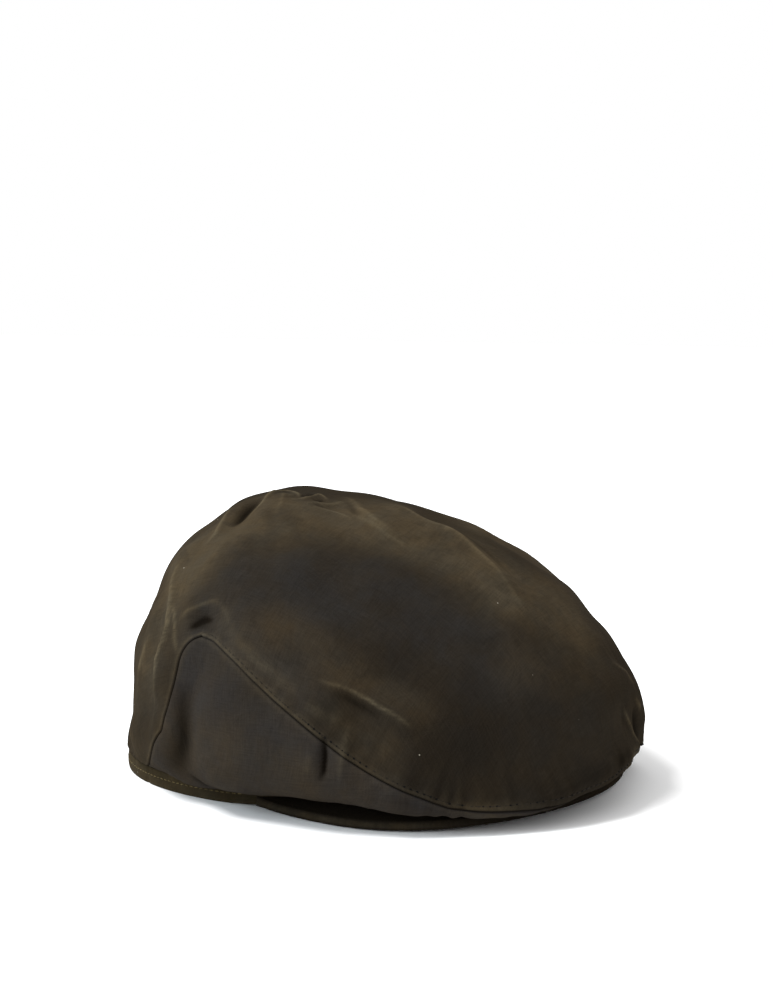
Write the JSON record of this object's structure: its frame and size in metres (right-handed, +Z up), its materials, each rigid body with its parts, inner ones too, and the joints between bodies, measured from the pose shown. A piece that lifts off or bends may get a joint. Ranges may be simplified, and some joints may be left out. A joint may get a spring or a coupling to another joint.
{
  "type": "waxed flat cap",
  "caption": "Full waxed cotton flat cap with a large top panel, two seamed side panels, a folded hem and a short stiff peak under its front.",
  "frame": {"origin": "middle of the outline's box, on the surface that the cap rests on", "axes": "+Y towards the back of the cap, the peak points along -Y; +X towards the wearer's left; +Z up"},
  "size_m": [0.236, 0.2557, 0.1322],
  "materials": {
    "waxed_top": "waxed cotton, olive brown black, satin with creases that catch the light",
    "waxed_side": "waxed cotton, brown black, satin and a little greyer",
    "waxed_hem": "folded waxed cotton, rubbed olive at the edge, one row of stitches",
    "waxed_peak": "waxed cotton over a stiff board, worn brown at the edge"
  },
  "bodies": {
    "root": {"top_panel": "waxed_top", "side_panel_left": "waxed_side", "side_panel_right": "waxed_side", "hem_band": "waxed_hem", "peak": "waxed_peak"}
  },
  "joints": []
}
